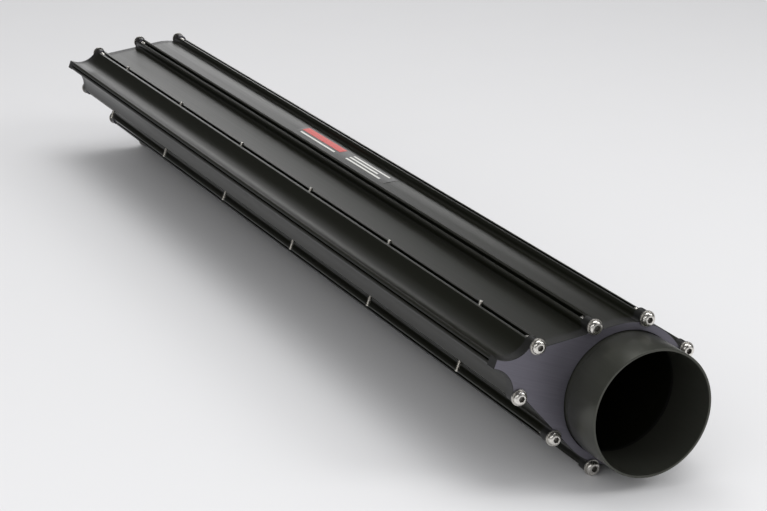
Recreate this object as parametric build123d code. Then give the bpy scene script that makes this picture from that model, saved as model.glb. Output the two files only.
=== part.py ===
from build123d import *
import math
import os

# Blower-driven air knife: a long extruded plenum with a nozzle slot along its
# front edge, closed by a plate at each end. Air enters through a thin-walled
# tube in one plate and leaves as a sheet between the two lips.
#
# The pieces are drawn in the section's own frame: X runs along the knife
# towards the inlet, Y from the nozzle tip back to the plenum, Z across the
# plane of symmetry. The assembly is then rolled onto its two lower ridges.

# Extruded plenum ------------------------------------------------------------
BODY_LENGTH = 914.4        # between the two end plates
PLENUM_WALL = 4.0          # wall of the round part
PLENUM_DEPTH = 111.0       # nozzle tip to the plenum's axis
BORE_STEP = 2.0            # plenum's bore outside the inlet tube, on the radius
FLANK_LEAD = 4.0           # where the two flanks would meet, ahead of the tip

# Nozzle ---------------------------------------------------------------------
TIP_HEIGHT = 7.2           # flat tip, over both lips
TIP_CHAMFER = 1.0          # outer edges of the lips
LIP_GAP = 1.2              # air slot
LIP_LAND = 12.0            # parallel stretch of the slot
LIP_FLAT = 3.0             # flat back from the tip, before the hollow rises

# Screw bosses, from the tip round to the back --------------------------------
BOSS_RADIUS = 5.0
BOSS_BLEND = 2.0           # fillet where a boss meets the wall
LIP_BOSS_BACK = 27.7       # first boss, behind the tip
LIP_BOSS_PROUD = 1.97      # its centre, outside the flank
FLANK_BOSS_AHEAD = 43.9    # second boss, ahead of the plenum's axis
FLANK_BOSS_PROUD = 3.87    # its centre, outside the flank
RING_BOSS_PROUD = 3.2      # the other bosses' centres, outside the round part
RING_BOSS_ANGLES = (-3.7, 42.3)  # from straight up towards the back, degrees
FRONT_CREST = 4.2          # flat crest of the two front bosses, above their centre
RING_CREST = 2.4           # the same on the bosses round the plenum
CHANNEL_SLOT = 3.4         # mouth of a boss's channel

# End plates -----------------------------------------------------------------
PLATE_THICKNESS = 9.5
PLATE_CHAMFER = 0.4

# Inlet tube -----------------------------------------------------------------
TUBE_OD = 96.0
TUBE_WALL = 1.8
TUBE_PROJECTION = 40.5     # beyond the plate's face
TUBE_SEAT = 6.5            # depth let into the plate
TUBE_NECK = 5.2            # turned-down stretch between the face and the full size
TUBE_NECK_DEPTH = 0.6
TUBE_CLEARANCE = 0.05      # round the tube in its seat
SEAT_CHAMFER = 0.8         # mouth of the seat
RIM_CHAMFER = 0.3

# End screws and washers -----------------------------------------------------
SCREW_D = 6.0
SCREW_BITE = 15.0          # length inside the extrusion
SCREW_CLEARANCE = 0.1      # round the thread in its channel
PLATE_HOLE_D = 6.6
HEAD_D = 10.5
HEAD_HEIGHT = 3.3
HEAD_FLAT_D = 5.6          # flat crown of the button head
SOCKET_WIDTH = 4.0         # across flats
SOCKET_DEPTH = 2.0
WASHER_D = 12.0
WASHER_HOLE_D = 6.4
WASHER_THICKNESS = 1.6

# Lip screws, which set the gap between the lips -------------------------------
LIP_SCREW_COUNT = 6
LIP_SCREW_INSET = 76.2     # first and last, in from the ends of the extrusion
LIP_SCREW_D = 3.0
LIP_SCREW_CLEARANCE = 0.1
LIP_SCREW_TOP = 0.6        # top end, beyond its boss
LIP_SCREW_BOTTOM = 6.9     # bottom end, beyond its boss
LIP_SOCKET_WIDTH = 1.5
LIP_SOCKET_DEPTH = 1.6

# Worked out from the above ---------------------------------------------------
TUBE_RADIUS = TUBE_OD / 2
PLENUM_BORE_RADIUS = TUBE_RADIUS + BORE_STEP
PLENUM_RADIUS = PLENUM_BORE_RADIUS + PLENUM_WALL
FLANK_ANGLE = math.degrees(math.asin(PLENUM_RADIUS / (PLENUM_DEPTH + FLANK_LEAD)))
RING_BOSS_RADIUS = PLENUM_RADIUS + RING_BOSS_PROUD
BOSS_BORE_RADIUS = SCREW_D / 2 + SCREW_CLEARANCE


def flank_boss(back, proud):
    """Centre of a boss on the flank, a distance outside its straight line."""
    turn = math.radians(FLANK_ANGLE)
    return (back, (back + FLANK_LEAD) * math.tan(turn) + proud / math.cos(turn))


def ring_boss(angle):
    """Centre of a boss on the plenum's ring, turned back from straight up."""
    turn = math.radians(angle)
    back = PLENUM_DEPTH + RING_BOSS_RADIUS * math.sin(turn)
    return (back, RING_BOSS_RADIUS * math.cos(turn))


def lip_boss():
    """Centre of the first boss behind the tip, above the plane of symmetry."""
    return flank_boss(LIP_BOSS_BACK, LIP_BOSS_PROUD)


def upper_bosses():
    """Centre, slot direction and crest of each boss above the plane."""
    ahead = flank_boss(PLENUM_DEPTH - FLANK_BOSS_AHEAD, FLANK_BOSS_PROUD)
    radial = math.degrees(math.atan2(ahead[1], ahead[0] - PLENUM_DEPTH))
    bosses = [
        (lip_boss(), 90 + FLANK_ANGLE, FRONT_CREST),
        (ahead, radial, FRONT_CREST),
    ]
    for angle in RING_BOSS_ANGLES:
        bosses.append((ring_boss(angle), 90 - angle, RING_CREST))
    return bosses


def all_bosses():
    """Every boss: the upper ones, the one at the back and the lower ones."""
    upper = upper_bosses()
    lower = [((y, -z), -slot, crest) for (y, z), slot, crest in reversed(upper)]
    return upper + [(ring_boss(90), 0.0, RING_CREST)] + lower


def both_halves(upper):
    """A sketch with its mirror image below the plane of symmetry."""
    return upper + mirror(upper, about=Plane.XZ)


def flank_start(radius, angle):
    """Where a straight flank leaves a circle about the plenum's axis."""
    turn = math.radians(angle)
    back = PLENUM_DEPTH - radius * math.sin(turn)
    return (back, radius * math.cos(turn))


def outline():
    """Outer outline that the extrusion and both end plates share."""
    tip = TIP_HEIGHT / 2
    start = flank_start(PLENUM_RADIUS, FLANK_ANGLE)
    lip_y, lip_z = lip_boss()
    flank_z = flank_boss(lip_y, 0)[1]
    flank = make_face(Polyline(
        (lip_y, 0), (lip_y, flank_z), start, (PLENUM_DEPTH, 0), close=True))
    radius = hollow_radius()
    top = tip + radius
    lip = make_face(Polyline(
        (0, 0), (0, top), (LIP_FLAT, top), (lip_y, lip_z), (lip_y, 0), close=True))
    hollow = Pos(LIP_FLAT, top) * Circle(radius)
    hollow += Pos(0, (tip + top) / 2) * Rectangle(2 * LIP_FLAT, radius)
    shape = both_halves(flank + (lip - hollow))
    shape += Pos(PLENUM_DEPTH, 0) * Circle(PLENUM_RADIUS)
    for (y, z), _, _ in all_bosses():
        shape += Pos(y, z) * Circle(BOSS_RADIUS)
    return rounded_corners(shape)


def hollow_radius():
    """Radius of the hollow that runs from the lip's flat into the first boss.

    Its circle touches the flat at LIP_FLAT and the boss's circle from outside.
    """
    back = lip_boss()[0] - LIP_FLAT
    rise = lip_boss()[1] - TIP_HEIGHT / 2
    spare = back ** 2 + rise ** 2 - BOSS_RADIUS ** 2
    return spare / (2 * (rise + BOSS_RADIUS))


def rounded_corners(shape):
    """Fills every inner corner of an outline with a fillet.

    The outline grows by the fillet's radius and shrinks back again.
    """
    grown = offset(shape, BOSS_BLEND, kind=Kind.ARC)
    return offset(grown, -BOSS_BLEND, kind=Kind.ARC)


def air_way():
    """The plenum's bore, its taper towards the tip and the air slot."""
    half_gap = LIP_GAP / 2
    reach = math.hypot(PLENUM_DEPTH - LIP_LAND, half_gap)
    drop = math.degrees(math.atan2(half_gap, PLENUM_DEPTH - LIP_LAND))
    rise = math.degrees(math.asin(PLENUM_BORE_RADIUS / reach)) - drop
    taper = make_face(Polyline(
        (-1, 0), (-1, half_gap), (LIP_LAND, half_gap),
        flank_start(PLENUM_BORE_RADIUS, rise), (PLENUM_DEPTH, 0), close=True))
    return both_halves(taper) + Pos(PLENUM_DEPTH, 0) * Circle(PLENUM_BORE_RADIUS)


def boss_channels():
    """Screw channels of all bosses, each open along its crest, which is cut flat."""
    channels = Sketch()
    for (y, z), slot, crest in all_bosses():
        mouth = Pos(BOSS_RADIUS, 0) * Rectangle(2 * BOSS_RADIUS, CHANNEL_SLOT)
        above = Pos(crest + BOSS_RADIUS, 0) * Rectangle(2 * BOSS_RADIUS, 3 * BOSS_RADIUS)
        cutter = Circle(BOSS_BORE_RADIUS) + Rot(0, 0, slot) * (mouth + above)
        channels += Pos(y, z) * cutter
    return channels


def along_x(sketch, start, end):
    """Extrudes a section sketch along the knife between two stations."""
    return Pos(start, 0, 0) * extrude(Plane.YZ * sketch, amount=end - start)


def lip_screw_stations():
    """Places of the lip screws along the knife, evenly spaced."""
    pitch = (BODY_LENGTH - 2 * LIP_SCREW_INSET) / (LIP_SCREW_COUNT - 1)
    return [-LIP_SCREW_INSET - n * pitch for n in range(LIP_SCREW_COUNT)]


def make_body():
    """The extrusion, with its lips drilled across for the lip screws."""
    section = outline() - air_way() - boss_channels()
    body = along_x(section, -BODY_LENGTH, 0)
    tip_edges = body.edges().filter_by(Axis.X).group_by(Axis.Y)[0]
    outer = [e for e in tip_edges if abs(e.center().Z) > TIP_HEIGHT / 4]
    body = chamfer(outer, TIP_CHAMFER)
    back, across = lip_boss()
    hole = Cylinder(LIP_SCREW_D / 2 + LIP_SCREW_CLEARANCE, 4 * across)
    for x in lip_screw_stations():
        body -= Pos(x, back, 0) * hole
    return body


def make_plate(inner, outer):
    """End plate between two stations, drilled for its screws.

    The first station is the face against the extrusion.
    """
    plate = along_x(outline(), min(inner, outer), max(inner, outer))
    face = plate.faces().filter_by(Axis.X).sort_by_distance((outer, 0, 0))[0]
    plate = chamfer(face.edges(), PLATE_CHAMFER)
    holes = Sketch()
    for (y, z), _, _ in all_bosses():
        holes += Pos(y, z) * Circle(PLATE_HOLE_D / 2)
    return plate - along_x(holes, min(inner, outer), max(inner, outer))


def bored_for_tube(plate):
    """The inlet plate with its air hole and the stepped seat of the tube."""
    face = PLATE_THICKNESS
    seat_radius = TUBE_RADIUS - TUBE_NECK_DEPTH + TUBE_CLEARANCE
    floor = face - TUBE_SEAT
    mouth = seat_radius + SEAT_CHAMFER
    cutter = make_face(Polyline(
        (-1, 0), (-1, TUBE_RADIUS - TUBE_WALL), (floor, TUBE_RADIUS - TUBE_WALL),
        (floor, seat_radius), (face - SEAT_CHAMFER, seat_radius), (face, mouth),
        (face + 1, mouth), (face + 1, 0), close=True))
    cutter = revolve(Plane.XZ * cutter, Axis.X)
    return plate - Pos(0, PLENUM_DEPTH, 0) * cutter


def make_tube():
    """The inlet tube: a turned-down neck in the plate, then its full size."""
    start = PLATE_THICKNESS - TUBE_SEAT
    shoulder = PLATE_THICKNESS + TUBE_NECK
    end = PLATE_THICKNESS + TUBE_PROJECTION
    inner = TUBE_RADIUS - TUBE_WALL
    neck = TUBE_RADIUS - TUBE_NECK_DEPTH
    wall = make_face(Polyline(
        (start, inner), (start, neck), (shoulder, neck), (shoulder, TUBE_RADIUS),
        (end - RIM_CHAMFER, TUBE_RADIUS), (end, TUBE_RADIUS - RIM_CHAMFER),
        (end, inner + RIM_CHAMFER), (end - RIM_CHAMFER, inner), close=True))
    return Pos(0, PLENUM_DEPTH, 0) * revolve(Plane.XZ * wall, Axis.X)


def make_screw():
    """Button-head screw along +X, its head bearing on the plane x = 0."""
    shank_end = -(WASHER_THICKNESS + PLATE_THICKNESS + SCREW_BITE)
    flat = HEAD_FLAT_D / 2
    rim = HEAD_D / 2
    bulge = (0.72 * HEAD_HEIGHT, (flat + 1.4 * rim) / 2.4)
    lead = 0.15 * SCREW_D
    edge = Polyline(
        (HEAD_HEIGHT, 0), (HEAD_HEIGHT, flat)) + ThreePointArc(
        (HEAD_HEIGHT, flat), bulge, (0.15 * HEAD_HEIGHT, rim)) + Polyline(
        (0.15 * HEAD_HEIGHT, rim), (0, rim), (0, SCREW_D / 2),
        (shank_end + lead, SCREW_D / 2), (shank_end, SCREW_D / 2 - lead),
        (shank_end, 0), (HEAD_HEIGHT, 0))
    screw = revolve(Plane.XZ * make_face(edge), Axis.X)
    return screw - hex_socket(SOCKET_WIDTH, HEAD_HEIGHT - SOCKET_DEPTH, HEAD_HEIGHT)


def hex_socket(width, floor, mouth):
    """A hexagonal key socket along X, cut a little past its mouth."""
    key = RegularPolygon(width / 2, 6, major_radius=False)
    return along_x(key, floor, mouth + 1)


def make_washer():
    """Flat washer along +X, lying on the plane x = 0."""
    ring = Circle(WASHER_D / 2) - Circle(WASHER_HOLE_D / 2)
    return along_x(ring, 0, WASHER_THICKNESS)


def make_lip_screw():
    """Socket set screw that stands across both lips, upright at x = 0."""
    edge = lip_boss()[1] + BOSS_RADIUS
    top = edge + LIP_SCREW_TOP
    bottom = -edge - LIP_SCREW_BOTTOM
    radius = LIP_SCREW_D / 2
    rod = Pos(0, 0, (top + bottom) / 2) * Cylinder(radius, top - bottom)
    rod = fillet(rod.edges().group_by(Axis.Z)[0], 0.6 * radius)
    rod = chamfer(rod.edges().group_by(Axis.Z)[-1], 0.2 * radius)
    key = RegularPolygon(LIP_SOCKET_WIDTH / 2, 6, major_radius=False)
    socket = Pos(0, 0, top - LIP_SOCKET_DEPTH) * extrude(key, LIP_SOCKET_DEPTH + 1)
    return rod - socket


def fasteners():
    """Washers and screws of both end plates, and the lip screws."""
    nodes = {}
    inlet_face = PLATE_THICKNESS
    closed_face = -BODY_LENGTH - PLATE_THICKNESS
    turned = Rot(0, 0, 180)
    for n, ((y, z), _, _) in enumerate(all_bosses(), 1):
        washer = make_washer()
        screw = Pos(WASHER_THICKNESS, 0, 0) * make_screw()
        inlet = Pos(inlet_face, y, z)
        closed = Pos(closed_face, y, z) * turned
        nodes[f"inlet_washer_{n}"] = inlet * washer
        nodes[f"inlet_screw_{n}"] = inlet * screw
        nodes[f"closed_washer_{n}"] = closed * washer
        nodes[f"closed_screw_{n}"] = closed * screw
    for n, x in enumerate(lip_screw_stations(), 1):
        nodes[f"lip_screw_{n}"] = Pos(x, lip_boss()[0], 0) * make_lip_screw()
    return nodes


def rest_angle():
    """Roll that brings the two lowest ring bosses level, degrees."""
    first, second = [ring_boss(angle) for angle in RING_BOSS_ANGLES]
    return -math.degrees(math.atan2(first[1] - second[1], second[0] - first[0]))


def set_down(nodes):
    """Rolls the knife onto its ridges and centres it above the origin."""
    rolled = {name: Rot(rest_angle(), 0, 0) * piece for name, piece in nodes.items()}
    box = Compound(list(rolled.values())).bounding_box()
    centre = box.center()
    shift = Pos(-centre.X, -centre.Y, -box.min.Z)
    return {name: shift * piece for name, piece in rolled.items()}


def main():
    """Makes every piece, sets the knife down and writes one file a piece."""
    nodes = {
        "plenum_body": make_body(),
        "inlet_end_plate": bored_for_tube(make_plate(0, PLATE_THICKNESS)),
        "inlet_tube": make_tube(),
        "closed_end_plate": make_plate(-BODY_LENGTH, -BODY_LENGTH - PLATE_THICKNESS),
    }
    nodes.update(fasteners())
    os.makedirs("parts", exist_ok=True)
    for name, piece in set_down(nodes).items():
        export_step(piece, f"parts/{name}.step")


main()
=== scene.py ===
import logging
import math
from dataclasses import dataclass
from enum import Enum

import bpy
import numpy as np
from mathutils import Matrix, Vector
from mathutils.geometry import tessellate_polygon


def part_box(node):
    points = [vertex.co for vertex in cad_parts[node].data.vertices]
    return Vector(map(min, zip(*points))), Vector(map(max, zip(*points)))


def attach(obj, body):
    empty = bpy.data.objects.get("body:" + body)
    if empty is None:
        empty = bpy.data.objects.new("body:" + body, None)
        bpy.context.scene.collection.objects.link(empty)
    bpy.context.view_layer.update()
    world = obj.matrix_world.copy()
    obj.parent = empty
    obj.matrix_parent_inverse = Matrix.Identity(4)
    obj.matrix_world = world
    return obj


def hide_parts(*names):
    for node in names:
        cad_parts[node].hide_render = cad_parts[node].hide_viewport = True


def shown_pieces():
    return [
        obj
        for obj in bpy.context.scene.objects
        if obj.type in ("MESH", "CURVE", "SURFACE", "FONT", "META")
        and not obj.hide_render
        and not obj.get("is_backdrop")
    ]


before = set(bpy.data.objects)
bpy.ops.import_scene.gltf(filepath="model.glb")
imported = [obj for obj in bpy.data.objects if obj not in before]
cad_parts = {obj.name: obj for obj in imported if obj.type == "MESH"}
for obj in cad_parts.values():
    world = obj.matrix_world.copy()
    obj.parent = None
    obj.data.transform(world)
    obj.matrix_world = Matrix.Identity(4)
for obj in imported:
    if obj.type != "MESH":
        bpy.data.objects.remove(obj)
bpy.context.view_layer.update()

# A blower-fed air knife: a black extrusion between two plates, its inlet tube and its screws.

log = logging.getLogger("air_knife")

MM = 0.001
ROLL = math.radians(19.3)  # the knife's plane of symmetry falls this much towards the back
ACROSS = np.array([0.0, math.sin(ROLL), math.cos(ROLL)])  # across that plane, upwards
BACK = np.array([0.0, math.cos(ROLL), -math.sin(ROLL)])  # in that plane, from tip to back
ALONG = np.array([1.0, 0.0, 0.0])  # towards the inlet
SEED = 7


class End(Enum):
    """The two ends of the knife, with the way out of each along X."""

    INLET = 1
    CLOSED = -1

    @property
    def word(self) -> str:
        """This end's word in the names of its pieces."""
        return self.name.lower()

    @property
    def outward(self) -> np.ndarray:
        """Way out of the knife at this end."""
        return ALONG * self.value


class Shading(Enum):
    """How a mesh meets the light at its edges: the sharpest angle that still looks smooth."""

    ROUND = math.radians(50)
    MACHINED = math.radians(28)


# Shader helpers ---------------------------------------------------------------

NOISE_LOW, NOISE_HIGH = 0.3, 0.7  # nearly all of a noise texture's values lie between these


def linear(hex_colour: str) -> tuple[float, float, float, float]:
    """Turns an sRGB colour to the linear values that nodes take.

    Args:
        hex_colour: Six hexadecimal digits, with or without a leading #.

    Returns:
        Red, green, blue and an alpha of 1.
    """
    digits = hex_colour.lstrip("#")
    channels = [int(digits[i : i + 2], 16) / 255 for i in (0, 2, 4)]
    curved = [c / 12.92 if c <= 0.04045 else ((c + 0.055) / 1.055) ** 2.4 for c in channels]
    return (*curved, 1.0)


def add_node(tree: bpy.types.NodeTree, kind: str,
             links: dict[str | int, bpy.types.NodeSocket] | None = None,
             **settings: object) -> bpy.types.Node:
    """Adds a node with its settings and links.

    A Mix node's sockets share their names, so they are given by number: 0 is the factor,
    2 and 3 are A and B as numbers, and 6 and 7 are A and B as colours.

    Args:
        tree: Node tree that the node goes into.
        kind: Node type's identifier.
        links: Input name or number to the output socket that feeds it.
        **settings: Node attributes. A key of the form in_NAME or in_NUMBER sets an
            input's value.

    Returns:
        The node.
    """
    node = tree.nodes.new(kind)
    for key, value in settings.items():
        if key.startswith("in_"):
            socket = key.removeprefix("in_").replace("_", " ")
            node.inputs[int(socket) if socket.isdigit() else socket].default_value = value
        else:
            setattr(node, key, value)
    for name, source in (links or {}).items():
        tree.links.new(source, node.inputs[name])
    return node


@dataclass(frozen=True)
class Finish:
    """A material made of one metal, plastic or paint with a fine surface pattern.

    The pattern is noise on Object coordinates. Its grain is a size in millimetres along
    X and across it, so a long, narrow grain gives drawn or brushed lines. A swing is how
    far the pattern moves the colour, as a share, or the roughness.
    """

    name: str
    colour: str
    roughness: float
    metallic: float = 0.0
    specular: float = 0.5
    grain_mm: tuple[float, float, float] = (3.0, 3.0, 3.0)
    tilt: float = 0.0
    colour_swing: float = 0.0
    roughness_swing: float = 0.0
    bump_mm: float = 0.0

    def make(self) -> bpy.types.Material:
        """Builds the node tree.

        Returns:
            The material.
        """
        material = bpy.data.materials.new(self.name)
        material.use_nodes = True
        tree = material.node_tree
        tree.nodes.clear()
        place = add_node(tree, "ShaderNodeTexCoord")
        tilted = add_node(tree, "ShaderNodeMapping", {"Vector": place.outputs["Object"]},
                          in_Rotation=(self.tilt, 0.0, 0.0))
        scaled = add_node(tree, "ShaderNodeMapping", {"Vector": tilted.outputs["Vector"]},
                          in_Scale=[1.0 / (grain * MM) for grain in self.grain_mm])
        noise = add_node(tree, "ShaderNodeTexNoise", {"Vector": scaled.outputs["Vector"]},
                         in_Scale=1.0, in_Detail=3.0, in_Roughness=0.55)
        shade = add_node(tree, "ShaderNodeMapRange", {"Value": noise.outputs["Fac"]},
                         in_From_Min=NOISE_LOW, in_From_Max=NOISE_HIGH,
                         in_To_Min=1.0 - self.colour_swing, in_To_Max=1.0 + self.colour_swing)
        base = add_node(tree, "ShaderNodeMix", {7: shade.outputs["Result"]},
                        data_type="RGBA", blend_type="MULTIPLY",
                        in_0=1.0, in_6=linear(self.colour))
        rough = add_node(tree, "ShaderNodeMapRange", {"Value": noise.outputs["Fac"]},
                         in_From_Min=NOISE_LOW, in_From_Max=NOISE_HIGH,
                         in_To_Min=self.roughness - self.roughness_swing,
                         in_To_Max=self.roughness + self.roughness_swing)
        bump = add_node(tree, "ShaderNodeBump", {"Height": noise.outputs["Fac"]},
                        in_Distance=self.bump_mm * MM, in_Strength=1.0)
        surface = add_node(tree, "ShaderNodeBsdfPrincipled",
                           {"Base Color": base.outputs[2], "Roughness": rough.outputs["Result"],
                            "Normal": bump.outputs["Normal"]},
                           in_Metallic=self.metallic, in_Specular_IOR_Level=self.specular)
        add_node(tree, "ShaderNodeOutputMaterial", {"Surface": surface.outputs["BSDF"]})
        return material


# Extruded aluminium, black anodised: a dull sheen with faint die lines along X, drawn
# coarser than they are so that they show.
EXTRUSION = Finish("black_anodised_extrusion", "#14150e", 0.31, specular=0.27,
                   grain_mm=(160.0, 0.9, 0.9), colour_swing=0.06, roughness_swing=0.03,
                   bump_mm=0.012)
# Aluminium plate, brushed before anodising: grey with a violet cast and level lines, drawn
# coarser than they are so that they show.
PLATE = Finish("anodised_plate", "#696770", 0.40, metallic=0.65,
               grain_mm=(2.0, 30.0, 0.35), tilt=ROLL, colour_swing=0.10, roughness_swing=0.05,
               bump_mm=0.01)
# Edge of the plate, milled and anodised but not brushed. Its dark colour is painted shade: nearly
# as dark as the extrusion.
PLATE_EDGE_SHADE = Finish("plate_edge_shade", "#1d1d1c", 0.40, specular=0.31, grain_mm=(8.0, 0.8, 0.8),
                    colour_swing=0.05, roughness_swing=0.03)
# Drawn aluminium tube, satin black anodised: a soft metal sheen on a surface finer than
# the extrusion's.
TUBE = Finish("black_anodised_tube", "#41423c", 0.32, metallic=0.5, grain_mm=(40.0, 1.2, 1.2),
              colour_swing=0.05, roughness_swing=0.03, bump_mm=0.006)
# Stainless steel, cold formed: bright, with the faint unevenness of a formed head.
SCREW = Finish("stainless_screw", "#dddad4", 0.27, metallic=1.0, grain_mm=(0.8, 0.8, 0.8),
               colour_swing=0.05, roughness_swing=0.06, bump_mm=0.01)
# The same steel in the sockets, rougher, with painted shade in its colour: darker, as a socket's
# hollow is.
SOCKET_SHADE_STEEL = Finish("socket_shade_steel", "#84817c", 0.50, metallic=1.0, grain_mm=(0.5, 0.5, 0.5),
                 colour_swing=0.10, roughness_swing=0.05)
# Stainless sheet, stamped to washers: a little duller than the heads.
WASHER = Finish("stainless_washer", "#bfbcb6", 0.30, metallic=1.0, grain_mm=(0.6, 0.6, 0.6),
                colour_swing=0.06, roughness_swing=0.06, bump_mm=0.01)
# Polyester label film with a satin face: a flat grey, paler than the extrusion under it.
FILM = Finish("label_film", "#3a3a39", 0.34, roughness_swing=0.02)
# Screen-printed inks: flat colours, a touch duller than the film.
RED_INK = Finish("label_red", "#b3261c", 0.36, roughness_swing=0.02)
PALE_INK = Finish("label_pale", "#c9c9c4", 0.36, roughness_swing=0.02)
# White laminate of the studio table: a soft sheen.
TABLE_TOP = Finish("studio_table", "#dededf", 0.30, specular=0.25,
                   grain_mm=(60.0, 60.0, 60.0), roughness_swing=0.01)


# Mesh helpers -----------------------------------------------------------------


def new_object(name: str, points: np.ndarray, faces: list[list[int]],
               shading: Shading) -> bpy.types.Object:
    """Makes a mesh object at the origin, with its place in its vertices.

    Args:
        name: Object and mesh name.
        points: Vertices in metres, one a row.
        faces: Vertex numbers of each face.
        shading: Where its edges turn sharp.

    Returns:
        The object, linked to the scene.
    """
    mesh = bpy.data.meshes.new(name)
    mesh.from_pydata(np.asarray(points, float).tolist(), [], faces)
    mesh.update()
    mesh.polygons.foreach_set("use_smooth", np.ones(len(mesh.polygons), bool))
    mesh.set_sharp_from_angle(angle=shading.value)
    item = bpy.data.objects.new(name, mesh)
    bpy.context.scene.collection.objects.link(item)
    return item


def ring_faces(rings: int, around: int, closed: bool) -> list[list[int]]:
    """Quads between successive rings of vertices.

    Args:
        rings: Number of rings.
        around: Vertices on each ring.
        closed: True if the last ring joins the first.

    Returns:
        Vertex numbers of each quad.
    """
    steps = rings if closed else rings - 1
    row = np.arange(steps)[:, None]
    col = np.arange(around)[None, :]
    after = (col + 1) % around
    below = (row + 1) % rings
    quads = np.stack([row * around + col, row * around + after,
                      below * around + after, below * around + col], axis=-1)
    return quads.reshape(-1, 4).tolist()


@dataclass(frozen=True)
class Seat:
    """A place with an axis and a turn about it."""

    origin: np.ndarray
    axis: np.ndarray
    turn: float = 0.0

    def place(self, local: np.ndarray) -> np.ndarray:
        """Moves points from the seat's own frame to the knife's.

        Args:
            local: Points in metres, along the axis and across it both ways.

        Returns:
            The same points in the shared frame.
        """
        parallel = 0.9  # past this cosine the axis is too near BACK to be crossed with it
        first = np.cross(self.axis, BACK if abs(self.axis @ BACK) < parallel else ALONG)
        first /= np.linalg.norm(first)
        second = np.cross(self.axis, first)
        cos, sin = math.cos(self.turn), math.sin(self.turn)
        side, up = cos * first + sin * second, -sin * first + cos * second
        return (self.origin + local[..., 0:1] * self.axis + local[..., 1:2] * side
                + local[..., 2:3] * up)


def turned(places: np.ndarray, radius: np.ndarray) -> np.ndarray:
    """Rings of points round an axis.

    A point on ring i at angle a lies at x_i along the axis and at
    (r(i, a) cos a, r(i, a) sin a) across it.

    Args:
        places: Place of each ring along the axis.
        radius: Radius of each ring, one a row, at each angle, one a column.

    Returns:
        Points as rings, angles, coordinates.
    """
    around = radius.shape[1]
    angle = 2 * math.pi * np.arange(around) / around
    x = np.repeat(np.asarray(places, float)[:, None], around, axis=1)
    return np.stack([x, radius * np.cos(angle), radius * np.sin(angle)], axis=-1)


def lathed(profile: list[tuple] | np.ndarray, around: int) -> np.ndarray:
    """Carries a profile round an axis.

    Args:
        profile: Place along the axis and radius of each ring. A radius is one number, or
            an array with one for each angle.
        around: Points on each ring.

    Returns:
        Points as rings, angles, coordinates.
    """
    radius = np.array([np.broadcast_to(r, around) for _, r in profile])
    return turned(np.array([x for x, _ in profile]), radius)


def hexagon(across_flats: float, around: int) -> np.ndarray:
    """Radius of a hexagon at each angle.

    At angle a it is half the width across flats, over cos(a modulo 60 - 30 degrees).

    Args:
        across_flats: Width of the hexagon.
        around: Number of angles.

    Returns:
        The radii.
    """
    angle = 360 * np.arange(around) / around
    return across_flats / 2 / np.cos(np.radians((angle % 60) - 30))


def capped(rings: np.ndarray) -> tuple[np.ndarray, list[list[int]]]:
    """Closes a stack of rings with a fan at each end.

    Args:
        rings: Points as rings, angles, coordinates.

    Returns:
        Points one a row, and faces: the quads, the first fan and the last fan.
    """
    count, around, _ = rings.shape
    points = np.vstack([rings.reshape(-1, 3), rings[0].mean(0)[None], rings[-1].mean(0)[None]])
    faces = ring_faces(count, around, False)
    col = np.arange(around)
    after = (col + 1) % around
    first, last = count * around, count * around + 1
    base = (count - 1) * around
    faces += np.stack([after, col, np.full(around, first)], axis=1).tolist()
    faces += np.stack([base + col, base + after, np.full(around, last)], axis=1).tolist()
    return points, faces


def arc(centre: tuple[float, float], radius: float, start: float, end: float,
        steps: int) -> np.ndarray:
    """Points on an arc in the plane of a profile.

    Args:
        centre: Centre of the arc, along the axis and away from it.
        radius: Its radius.
        start: First angle, degrees from the axis outwards.
        end: Last angle.
        steps: Number of points.

    Returns:
        Points one a row.
    """
    angle = np.radians(np.linspace(start, end, steps))
    return np.stack([centre[0] + radius * np.cos(angle),
                     centre[1] + radius * np.sin(angle)], axis=1)


def centre_of(node: str) -> np.ndarray:
    """Middle of a CAD node's box.

    Args:
        node: Name of the node.

    Returns:
        The point, in metres.
    """
    low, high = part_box(node)
    return (np.array(low) + np.array(high)) / 2


def dress(item: bpy.types.Object, material: bpy.types.Material) -> None:
    """Gives a new piece its material and fixes it to the knife.

    Args:
        item: The piece.
        material: Its finish.
    """
    item.data.materials.clear()
    item.data.materials.append(material)
    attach(item, "root")


# The extrusion ----------------------------------------------------------------


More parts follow.
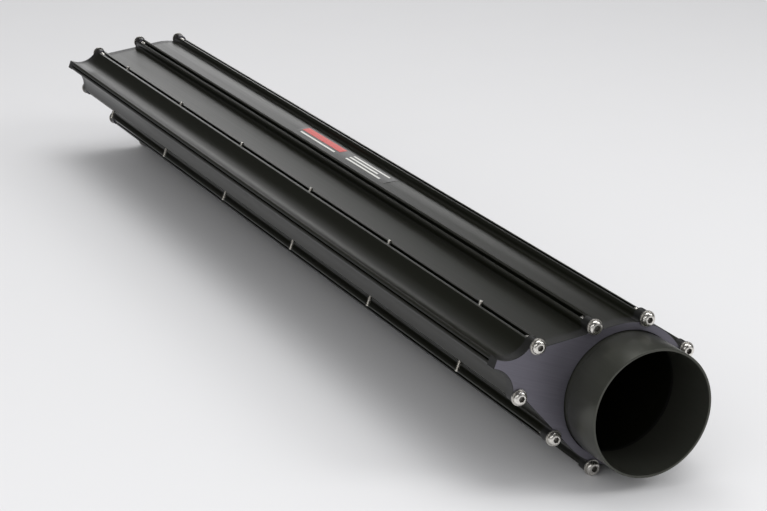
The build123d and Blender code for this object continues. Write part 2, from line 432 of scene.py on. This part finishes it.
@dataclass
class Extrusion:
    """The plenum with its bosses, drawn again from the CAD section with broken edges.

    Every sharp corner of the section gets the small radius that a die leaves, which is
    what catches the light along the channels' mouths and the tip.

    Front bosses are given as number and side: 1 above the plane of symmetry, -1 below.
    The slots of the outermost two are square to the flanks, which rise from that plane by
    flank_deg, and those of the other two point away from the plenum's axis. A crest is a
    height above its boss's centre and a mouth is a width across the slot, as in the CAD
    section (cad) and as they are redrawn.
    """

    node: str = "plenum_body"
    edge_mm: float = 0.35
    edge_share: float = 0.42  # most of a side that one broken corner may take
    sharp_deg: float = 34.0
    corner_points: int = 5
    merge_mm: float = 0.002
    front_bosses: tuple[tuple[int, int], ...] = ((1, 1), (2, 1), (8, -1), (9, -1))
    outermost: tuple[int, int] = (1, 9)
    flank_deg: float = 28.0
    boss_radius_mm: float = 5.0
    channel_radius_mm: float = 3.1
    cad_crest_mm: float = 4.2
    cad_mouth_mm: float = 3.4
    crest_mm: float = 3.6
    mouth_mm: float = 2.7
    close_mm: float = 0.02  # a point this near a line of the section is on it
    lip_mm: float = 0.2  # a crest's outer corner lies at least this far from the mouth
    clear_mm: float = 1.0  # a point this far outside the channel isn't on its wall

    def section(self) -> np.ndarray:
        """Reads the section's outline off the CAD piece's end face.

        The outline is the chain of edges that belong to one triangle of the face only.

        Returns:
            Points (y, z) in metres, in order round the outline.
        """
        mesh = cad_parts[self.node].data
        mesh.calc_loop_triangles()
        points = np.empty(len(mesh.vertices) * 3, np.float32)
        mesh.vertices.foreach_get("co", points)
        points = points.reshape(-1, 3).astype(float)
        triangles = np.empty(len(mesh.loop_triangles) * 3, np.int32)
        mesh.loop_triangles.foreach_get("vertices", triangles)
        triangles = triangles.reshape(-1, 3)
        merge = self.merge_mm * MM
        at_end = (np.abs(points[:, 0] - points[:, 0].max()) < merge / 2)[triangles].all(axis=1)
        corners = points[triangles[at_end].ravel(), 1:]
        _, first, label = np.unique(np.round(corners / merge).astype(int), axis=0,
                                    return_index=True, return_inverse=True)
        label = label.reshape(-1, 3)
        edges = np.stack([label, np.roll(label, -1, axis=1)], axis=-1).reshape(-1, 2)
        _, pair, uses = np.unique(np.sort(edges, axis=1), axis=0,
                                  return_inverse=True, return_counts=True)
        after = dict(edges[uses[pair.ravel()] == 1].tolist())
        start = next(iter(after))
        chain = [start]
        while after[chain[-1]] != start and len(chain) <= len(after):
            chain.append(after[chain[-1]])
        log.info("section: %d points, %d in one chain", len(after), len(chain))
        return corners[first[chain]]

    def with_broad_lips(self, outline: np.ndarray) -> np.ndarray:
        """Draws the four front channels with the broad lips and narrow mouths they have.

        In each boss's own frame h is the height above its centre along the slot and t the
        distance to the side. The crest comes down to a chord of the boss's circle, and
        the mouth's walls move in.

        Args:
            outline: Points round the section.

        Returns:
            The outline with those crests redrawn.
        """
        axis = centre_of("inlet_tube")[1:]
        crest, mouth = self.crest_mm * MM, self.mouth_mm / 2 * MM
        cad_crest, cad_mouth = self.cad_crest_mm * MM, self.cad_mouth_mm / 2 * MM
        radius, channel = self.boss_radius_mm * MM, self.channel_radius_mm * MM
        close, lip, clear = self.close_mm * MM, self.lip_mm * MM, self.clear_mm * MM
        for number, side in self.front_bosses:
            centre = centre_of(f"inlet_screw_{number}")[1:]
            if number in self.outermost:
                slope = math.radians(90 + self.flank_deg) * side
                up = math.cos(slope) * BACK[1:] + math.sin(slope) * ACROSS[1:]
            else:
                up = (centre - axis) / np.linalg.norm(centre - axis)
            aside = np.array([-up[1], up[0]])
            h, t = (outline - centre) @ up, (outline - centre) @ aside
            near = (np.abs(t) < radius) & (h < radius)
            sign = np.sign(t)
            top = near & (h > cad_crest - close)
            outer = top & (np.abs(t) > cad_mouth + lip)
            inner = top & ~outer
            low = near & ~top & (h > 0) & (np.abs(np.abs(t) - cad_mouth) < close)
            h[outer], t[outer] = crest, sign[outer] * math.sqrt(radius**2 - crest**2)
            h[inner], t[inner] = crest, sign[inner] * mouth
            h[low], t[low] = math.sqrt(channel**2 - mouth**2), sign[low] * mouth
            moved = outer | inner | low
            outline = outline.copy()
            outline[moved] = centre + h[moved, None] * up + t[moved, None] * aside
            spare = near & ~moved & (h > crest) & (np.hypot(h, t) > channel + clear)
            log.info("boss %d: %d points redrawn, %d left out", number, moved.sum(), spare.sum())
            outline = outline[~spare]
        return outline

    def softened(self, outline: np.ndarray) -> np.ndarray:
        """Rounds each sharp corner with a parabola between two points near it.

        With the corner c and a point on each side of it, a and b, the parabola is
        (1 - t)^2 a + 2 t (1 - t) c + t^2 b. Other points keep their place.

        Args:
            outline: Points round the section.

        Returns:
            The points with every sharp corner replaced.
        """
        into = outline - np.roll(outline, 1, axis=0)
        out = np.roll(outline, -1, axis=0) - outline
        into_len = np.linalg.norm(into, axis=1)[:, None]
        out_len = np.linalg.norm(out, axis=1)[:, None]
        cosine = (into * out).sum(axis=1, keepdims=True) / (into_len * out_len)
        sharp = np.degrees(np.arccos(np.clip(cosine, -1, 1))) >= self.sharp_deg
        longest = self.edge_share * np.minimum(into_len, out_len)
        reach = np.where(sharp, np.minimum(self.edge_mm * MM, longest), 0.0)
        first = (outline - into / into_len * reach)[:, None]
        last = (outline + out / out_len * reach)[:, None]
        t = np.linspace(0, 1, self.corner_points)
        share = t[None, :, None]
        curves = ((1 - share) ** 2 * first + 2 * share * (1 - share) * outline[:, None]
                  + share**2 * last)
        return curves[sharp | (t == 0)]

    def build(self, material: bpy.types.Material) -> None:
        """Extrudes the softened section between the two end plates.

        Args:
            material: Its finish.
        """
        outline = self.softened(self.with_broad_lips(self.section()))
        low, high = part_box(self.node)
        count = len(outline)
        points = np.vstack([
            np.column_stack([np.full(count, x), outline]) for x in (low[0], high[0])])
        cap = [list(t) for t in tessellate_polygon([[Vector((y, z, 0)) for y, z in outline]])]
        faces = ring_faces(2, count, False)
        faces += cap + [[i + count for i in reversed(t)] for t in cap]
        item = new_object("plenum", points, faces, Shading.MACHINED)
        dress(item, material)
        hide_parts(self.node)


# Plates, tube and fasteners ---------------------------------------------------


@dataclass
class EndPlates:
    """The two plates, which stay the CAD pieces with smooth round edges."""

    weld_mm: float = 0.005
    face_normal: float = 0.9  # least share of X in the normal of a brushed face

    def build(self, material: bpy.types.Material, edge: bpy.types.Material) -> None:
        """Joins each plate's triangles, smooths its round walls and gives its edges a darker finish
        of painted shade.

        Args:
            material: Finish of the brushed faces.
            edge: Finish of the edges, which aren't brushed, darkened with painted shade.
        """
        for end in End:
            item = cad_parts[f"{end.word}_end_plate"]
            item.data.materials.clear()
            item.data.materials.append(material)
            item.data.materials.append(edge)
            polygons = item.data.polygons
            normals = np.empty(len(polygons) * 3, np.float32)
            polygons.foreach_get("normal", normals)
            # faces that don't face along X are the plate's edges, which take the finish with
            # painted shade
            painted_shade_edge = (np.abs(normals[0::3]) < self.face_normal).astype(np.int32)
            polygons.foreach_set("material_index", painted_shade_edge)
            polygons.foreach_set("use_smooth", np.ones(len(polygons), bool))
            weld = item.modifiers.new("weld", "WELD")
            weld.merge_threshold = self.weld_mm * MM
            split = item.modifiers.new("edges", "EDGE_SPLIT")
            split.split_angle = Shading.MACHINED.value


@dataclass
class InletTube:
    """Thin-walled tube with a turned-down neck at the plate and a rounded rim."""

    node: str = "inlet_tube"
    neck_mm: float = 5.2
    neck_depth_mm: float = 0.6
    wall_mm: float = 1.8
    edge_mm: float = 0.35
    rim_points: int = 5
    shoulder_points: int = 4
    around: int = 256

    def build(self, material: bpy.types.Material) -> None:
        """Turns the tube's wall round its axis.

        Args:
            material: Its finish.
        """
        low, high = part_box(self.node)
        centre = centre_of(self.node)
        outer = (high[2] - low[2]) / 2
        inner = outer - self.wall_mm * MM
        neck = outer - self.neck_depth_mm * MM
        plate_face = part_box("inlet_end_plate")[1][0]
        shoulder = plate_face + self.neck_mm * MM
        edge = self.edge_mm * MM
        rim_x = high[0] - edge
        profile = np.vstack([
            [(low[0], inner), (low[0], neck), (shoulder, neck)],
            arc((shoulder + edge, outer - edge), edge, 180, 90, self.shoulder_points),
            arc((rim_x, outer - edge), edge, 90, 0, self.rim_points),
            arc((rim_x, inner + edge), edge, 0, -90, self.rim_points)])
        profile[:, 0] -= centre[0]
        rings = lathed(profile, self.around)
        item = new_object("inlet_tube_wall", Seat(centre, ALONG).place(rings).reshape(-1, 3),
                          ring_faces(len(profile), self.around, True), Shading.MACHINED)
        dress(item, material)
        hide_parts(self.node)


@dataclass(frozen=True)
class ThreadForm:
    """A screw thread cut into a round shank."""

    major_mm: float
    pitch_mm: float
    rings_per_turn: int
    depth_share: float = 0.61  # depth of the thread over its pitch
    stretch: float = 1.25  # how much the wave is stretched before its crests are cut flat

    def rings(self, start_mm: float, end_mm: float, around: int, lead_mm: float) -> np.ndarray:
        """Rings of a threaded shank between two places along its axis.

        The radius at place x and angle a is the major radius less the thread's depth
        times a flattened triangle wave of x / pitch + a / (2 pi), and it tapers at the end.

        Args:
            start_mm: Where the thread starts.
            end_mm: Where it ends, further down the axis.
            around: Points on each ring.
            lead_mm: Length of the taper at the end.

        Returns:
            Points as rings, angles, coordinates, in metres.
        """
        depth = self.depth_share * self.pitch_mm
        count = int(abs(end_mm - start_mm) / self.pitch_mm * self.rings_per_turn) + 1
        x = np.linspace(start_mm, end_mm, count)
        angle = 2 * math.pi * np.arange(around) / around
        phase = (x[:, None] / self.pitch_mm + angle[None, :] / (2 * math.pi)) % 1.0
        wave = np.clip(self.stretch * np.abs(2 * phase - 1) - (self.stretch - 1) / 2, 0, 1)
        radius = self.major_mm / 2 - depth * wave
        left = np.abs(x - end_mm)[:, None]
        taper = self.major_mm / 2 - depth * np.clip(1 - left / lead_mm, 0, 1)
        return turned(x, np.minimum(radius, taper)) * MM


@dataclass
class EndScrews:
    """Button-head screws with hexagonal sockets that hold the plates."""

    head_mm: float = 10.5
    height_mm: float = 3.3
    flat_mm: float = 5.6
    brim_mm: float = 0.55  # height at which the dome meets the straight brim
    brim_edge_mm: float = 0.15
    dome_power: float = 0.9  # below 1 it fills out the dome's shoulder
    dome_steps: int = 9
    socket_mm: float = 4.0
    socket_depth_mm: float = 2.0
    socket_lip_mm: float = 0.25
    floor_share: float = 0.9  # width of the socket's floor, before its corner
    lip_share: float = 1.05  # width of the socket's mouth
    shank_mm: float = 18.1
    thread_start_mm: float = -0.02
    lead_mm: float = 1.0
    thread: ThreadForm = ThreadForm(5.94, 1.0, 8)
    around: int = 48
    count: int = 9

    def head_rings(self) -> np.ndarray:
        """Rings from the socket's floor over the crown to the underside.

        The dome from the flat crown to the brim is a quarter turn: at angle b the height
        goes with cos(b) to the dome's power and the radius with sin(b).

        Returns:
            Points as rings, angles, coordinates, in metres.
        """
        socket = hexagon(self.socket_mm, self.around)
        top, brim, brim_edge = self.height_mm, self.brim_mm, self.brim_edge_mm
        floor = top - self.socket_depth_mm
        flat, rim = self.flat_mm / 2, self.head_mm / 2
        bend = math.pi / 2 * np.linspace(0, 1, self.dome_steps)[1:]
        dome = zip(brim + (top - brim) * np.cos(bend) ** self.dome_power,
                   flat + (rim - flat) * np.sin(bend))
        profile = [(floor, self.floor_share * socket), (floor, socket),
                   (top - self.socket_lip_mm, socket), (top, self.lip_share * socket),
                   (top, flat), *dome, (brim_edge, rim), (0.0, rim - brim_edge),
                   (0.0, self.thread.major_mm / 2)]
        return lathed(profile, self.around) * MM

    def build(self, material: bpy.types.Material, socket_shade: bpy.types.Material,
              rng: np.random.Generator) -> None:
        """Sets a screw in every hole of both plates.

        Args:
            material: Their finish.
            socket_shade: Finish of the sockets: the steel darkened with painted shade.
            rng: Source of the angles at which the sockets stopped.
        """
        shank = self.thread.rings(self.thread_start_mm, -self.shank_mm, self.around, self.lead_mm)
        rings = np.concatenate([self.head_rings(), shank])
        walls = 2 * self.around  # faces from the floor's middle ring to the socket's mouth
        for end in End:
            for number in range(1, self.count + 1):
                node = f"{end.word}_screw_{number}"
                low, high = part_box(node)
                crown = high[0] if end is End.INLET else low[0]
                seat = centre_of(node)
                seat[0] = crown - end.value * self.height_mm * MM
                place = Seat(seat, end.outward, float(rng.uniform(0, math.pi / 3)))
                points, faces = capped(place.place(rings))
                item = new_object(f"{end.word}_button_screw_{number}", points, faces,
                                  Shading.ROUND)
                dress(item, material)
                # the sockets' finish, darkened with painted shade, as the second material
                item.data.materials.append(socket_shade)
                first_fan = len(faces) - 2 * self.around
                in_socket = np.zeros(len(faces), np.int32)
                in_socket[:walls] = 1
                in_socket[first_fan : first_fan + self.around] = 1
                item.data.polygons.foreach_set("material_index", in_socket)
                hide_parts(node)


@dataclass
class Washers:
    """Stamped flat washers under the screw heads."""

    outer_mm: float = 12.0
    inner_mm: float = 6.4
    thick_mm: float = 1.6
    edge_mm: float = 0.3
    edge_points: int = 4
    around: int = 64
    count: int = 9

    def build(self, material: bpy.types.Material) -> None:
        """Puts a washer with softly rounded edges under each head.

        Args:
            material: Their finish.
        """
        far, near, edge = self.outer_mm / 2, self.inner_mm / 2, self.edge_mm
        top = self.thick_mm
        profile = np.vstack([arc((edge, far - edge), edge, 180, 90, self.edge_points),
                             arc((top - edge, far - edge), edge, 90, 0, self.edge_points),
                             [(top, near), (0.0, near)]])
        rings = lathed(profile, self.around) * MM
        for end in End:
            for number in range(1, self.count + 1):
                node = f"{end.word}_washer_{number}"
                seat = centre_of(node) - end.outward * self.thick_mm / 2 * MM
                points = Seat(seat, end.outward).place(rings).reshape(-1, 3)
                item = new_object(f"{end.word}_flat_washer_{number}", points,
                                  ring_faces(len(profile), self.around, True), Shading.MACHINED)
                dress(item, material)
                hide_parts(node)


@dataclass
class LipScrews:
    """Long set screws that stand across both lips and set the gap between them."""

    socket_mm: float = 1.5
    socket_depth_mm: float = 1.6
    chamfer_mm: float = 0.3
    thread_start_mm: float = 0.35  # below the top
    relief_mm: float = 0.02  # how far the chamfer's foot stays inside the thread
    lead_mm: float = 0.7
    thread: ThreadForm = ThreadForm(2.98, 0.5, 4)
    around: int = 24
    count: int = 6

    def build(self, material: bpy.types.Material) -> None:
        """Stands each screw at its CAD place, its socket at the top.

        A leaning screw's box is its length times cos(roll) high, and its width times
        sin(roll) more.

        Args:
            material: Their finish.
        """
        socket = hexagon(self.socket_mm, self.around)
        radius = self.thread.major_mm / 2
        for number in range(1, self.count + 1):
            node = f"lip_screw_{number}"
            low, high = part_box(node)
            width, height = (high[0] - low[0]) / MM, (high[2] - low[2]) / MM
            half = (height - width * math.sin(ROLL)) / math.cos(ROLL) / 2
            top = lathed([(half - self.socket_depth_mm, socket), (half, socket),
                          (half, radius - self.chamfer_mm),
                          (half - self.chamfer_mm, radius - self.relief_mm)], self.around) * MM
            shank = self.thread.rings(half - self.thread_start_mm, -half, self.around,
                                      self.lead_mm)
            place = Seat(centre_of(node), ACROSS)
            points, faces = capped(place.place(np.concatenate([top, shank])))
            item = new_object(f"lip_set_screw_{number}", points, faces, Shading.ROUND)
            dress(item, material)
            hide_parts(node)


class Ink(Enum):
    """The label's two inks."""

    RED = RED_INK
    PALE = PALE_INK


@dataclass(frozen=True)
class Bar:
    """A printed bar: its ends from the film's far end, its sides as shares of its width."""

    word: str
    ink: Ink
    first_mm: float
    last_mm: float
    low: float
    high: float


@dataclass
class Label:
    """A generic printed strip on the plenum between two bosses, with no words on it."""

    start_mm: float = -110.5
    end_mm: float = 74.5
    first_deg: float = 16.4
    last_deg: float = 35.2
    thick_mm: float = 0.12
    lift_mm: float = 0.02  # of the film over the plenum
    sink_mm: float = 0.02  # of the ink into the film
    radius_mm: float = 54.0
    rows: int = 13
    columns: int = 9
    bars: tuple[Bar, ...] = (
        Bar("red", Ink.RED, 4.0, 86.0, 0.10, 0.52),
        Bar("pale_1", Ink.PALE, 8.0, 82.0, 0.66, 0.76),
        Bar("pale_2", Ink.PALE, 104.0, 176.0, 0.16, 0.26),
        Bar("pale_3", Ink.PALE, 104.0, 160.0, 0.38, 0.48),
        Bar("pale_4", Ink.PALE, 104.0, 172.0, 0.60, 0.70),
    )

    def patch(self, name: str, span: tuple[float, float], sweep: tuple[float, float],
              lift_mm: float, material: bpy.types.Material) -> None:
        """A thin slab that follows the round plenum.

        A point at angle a and height h lies at (radius + h) from the plenum's axis, turned
        by a from straight across the plane of symmetry towards the nozzle.

        Args:
            name: Object name.
            span: First and last place along X, millimetres.
            sweep: First and last angle, degrees.
            lift_mm: Height of its underside above the plenum.
            material: Its finish.
        """
        axis = centre_of("inlet_tube") * (0, 1, 1)
        angle = np.radians(np.linspace(*sweep, self.rows))[:, None]
        way = np.cos(angle) * ACROSS - np.sin(angle) * BACK
        x = np.linspace(*span, self.columns) * MM
        layers = []
        for height in (lift_mm, lift_mm + self.thick_mm):
            across = (self.radius_mm + height) * MM * way + axis
            grid = np.repeat(across[:, None, :], self.columns, axis=1)
            grid[:, :, 0] = x
            layers.append(grid.reshape(-1, 3))
        top = self.rows * self.columns
        index = np.arange(top).reshape(self.rows, self.columns)
        quads = np.stack([index[:-1, :-1], index[:-1, 1:], index[1:, 1:], index[1:, :-1]],
                         axis=-1).reshape(-1, 4)
        faces = quads[:, ::-1].tolist() + (quads + top).tolist()
        edge = np.concatenate([index[0, :-1], index[:-1, -1], index[-1, :0:-1], index[:0:-1, 0]])
        after = np.roll(edge, -1)
        faces += np.stack([edge, after, after + top, edge + top], axis=1).tolist()
        dress(new_object(name, np.vstack(layers), faces, Shading.MACHINED), material)

    def build(self, film: bpy.types.Material) -> None:
        """Lays the film, a red bar and a few pale bars.

        Args:
            film: Finish of the film.
        """
        inks = {ink: ink.value.make() for ink in Ink}
        width = self.last_deg - self.first_deg
        self.patch("label_film", (self.start_mm, self.end_mm), (self.first_deg, self.last_deg),
                   self.lift_mm, film)
        for bar in self.bars:
            span = (self.start_mm + bar.first_mm, self.start_mm + bar.last_mm)
            sweep = (self.first_deg + bar.low * width, self.first_deg + bar.high * width)
            self.patch(f"label_bar_{bar.word}", span, sweep,
                       self.lift_mm + self.thick_mm - self.sink_mm, inks[bar.ink])


# Studio -----------------------------------------------------------------------


@dataclass(frozen=True)
class SoftBox:
    """A large rectangular lamp, placed and aimed in metres, with its power in watts."""

    name: str
    place: tuple[float, float, float]
    target: tuple[float, float, float]
    size: tuple[float, float]
    power: float
    knife_only: bool = False

    def build(self, knife: bpy.types.Collection) -> None:
        """Adds the lamp, aimed at its target.

        Args:
            knife: The knife's pieces, all that a knife_only lamp lights.
        """
        data = bpy.data.lights.new(self.name, "AREA")
        data.shape = "RECTANGLE"
        data.size, data.size_y = self.size
        data.energy = self.power
        item = bpy.data.objects.new(self.name, data)
        item.location = self.place
        aim = Vector(self.target) - Vector(self.place)
        item.rotation_euler = aim.to_track_quat("-Z", "Y").to_euler()
        bpy.context.scene.collection.objects.link(item)
        if self.knife_only:
            item.light_linking.receiver_collection = knife


@dataclass
class Studio:
    """Table, lamps, surroundings and camera."""

    table_m: float = 14.0
    lamps: tuple[SoftBox, ...] = (
        SoftBox("overhead", (-0.3, 0.35, 2.4), (-0.1, 0.1, 0.0), (2.2, 1.6), 30.0),
        SoftBox("beyond", (-3.2, 1.1, 0.9), (-0.4, 0.0, 0.05), (1.6, 1.0), 10.0, knife_only=True),
        SoftBox("front_left", (0.9, -2.6, 1.0), (0.2, 0.0, 0.05), (1.4, 1.4), 7.0),
        SoftBox("near_camera", (2.6, -1.9, 1.7), (0.3, 0.0, 0.05), (1.8, 1.4), 14.0),
        SoftBox("front_high", (1.6, 1.5, 1.6), (0.45, 0.0, 0.05), (0.9, 0.9), 16.0),
    )
    surround: str = "#e4e4e5"
    seen: float = 1.0  # strength of the surroundings where the camera sees them
    ambient: float = 0.92  # where they light the knife and the table
    mirrored: float = 0.10  # and where they are mirrored
    camera_place: tuple[float, float, float] = (1.71810, -0.79310, 0.64507)
    camera_right: tuple[float, float, float] = (0.43119, 0.90170, 0.03187)
    camera_up: tuple[float, float, float] = (-0.29306, 0.10656, 0.95014)
    lens_mm: float = 106.22
    sensor_mm: float = 36.0
    camera_reach_m: float = 50.0

    def table(self, material: bpy.types.Material) -> None:
        """Lays the table top, level with the knife's lowest point.

        Args:
            material: Its finish.
        """
        half = self.table_m / 2
        corners = np.array([(-half, -half, 0), (half, -half, 0), (half, half, 0), (-half, half, 0)])
        item = new_object("studio_table", corners, [[0, 1, 2, 3]], Shading.MACHINED)
        item.data.materials.append(material)
        item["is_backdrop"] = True

    def world(self) -> None:
        """Pale surroundings: full for the camera, dimmer where they light or are mirrored."""
        world = bpy.data.worlds.new("studio")
        bpy.context.scene.world = world
        world.use_nodes = True
        tree = world.node_tree
        tree.nodes.clear()
        path = add_node(tree, "ShaderNodeLightPath")
        unseen = add_node(tree, "ShaderNodeMix", {0: path.outputs["Is Glossy Ray"]},
                          data_type="FLOAT", in_2=self.ambient, in_3=self.mirrored)
        strength = add_node(tree, "ShaderNodeMix",
                            {0: path.outputs["Is Camera Ray"], 2: unseen.outputs[0]},
                            data_type="FLOAT", in_3=self.seen)
        back = add_node(tree, "ShaderNodeBackground", {"Strength": strength.outputs[0]},
                        in_Color=linear(self.surround))
        add_node(tree, "ShaderNodeOutputWorld", {"Surface": back.outputs["Background"]})

    def camera(self) -> None:
        """Sets the camera beside the inlet end, looking down the knife's length."""
        data = bpy.data.cameras.new("camera")
        data.sensor_width = self.sensor_mm
        data.lens = self.lens_mm
        data.clip_end = self.camera_reach_m
        item = bpy.data.objects.new("camera", data)
        right = Vector(self.camera_right).normalized()
        up = Vector(self.camera_up).normalized()
        turn = Matrix((right, up, right.cross(up).normalized())).transposed().to_4x4()
        item.matrix_world = Matrix.Translation(self.camera_place) @ turn
        bpy.context.scene.collection.objects.link(item)
        bpy.context.scene.camera = item

    def build(self, material: bpy.types.Material) -> None:
        """Adds everything round the knife.

        Args:
            material: Finish of the table top.
        """
        self.table(material)
        self.world()
        self.camera()
        knife = bpy.data.collections.new("knife_pieces")
        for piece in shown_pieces():
            knife.objects.link(piece)
        for lamp in self.lamps:
            lamp.build(knife)
        bpy.context.scene.view_settings.view_transform = "Standard"


def write_sizes() -> None:
    """Updates the view layer, so that every piece's matrices are current.
    """
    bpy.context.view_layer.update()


def main() -> None:
    """Builds the knife and its studio, and reports each piece."""
    logging.basicConfig(level=logging.INFO, format="%(name)s: %(message)s")
    rng = np.random.default_rng(SEED)
    steel = SCREW.make()
    Extrusion().build(EXTRUSION.make())
    EndPlates().build(PLATE.make(), PLATE_EDGE_SHADE.make())
    InletTube().build(TUBE.make())
    EndScrews().build(steel, SOCKET_SHADE_STEEL.make(), rng)
    Washers().build(WASHER.make())
    LipScrews().build(steel)
    Label().build(FILM.make())
    Studio().build(TABLE_TOP.make())
    write_sizes()
    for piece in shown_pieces():
        log.info("%s: %d faces", piece.name, len(piece.data.polygons))


if __name__ == "__main__":
    main()
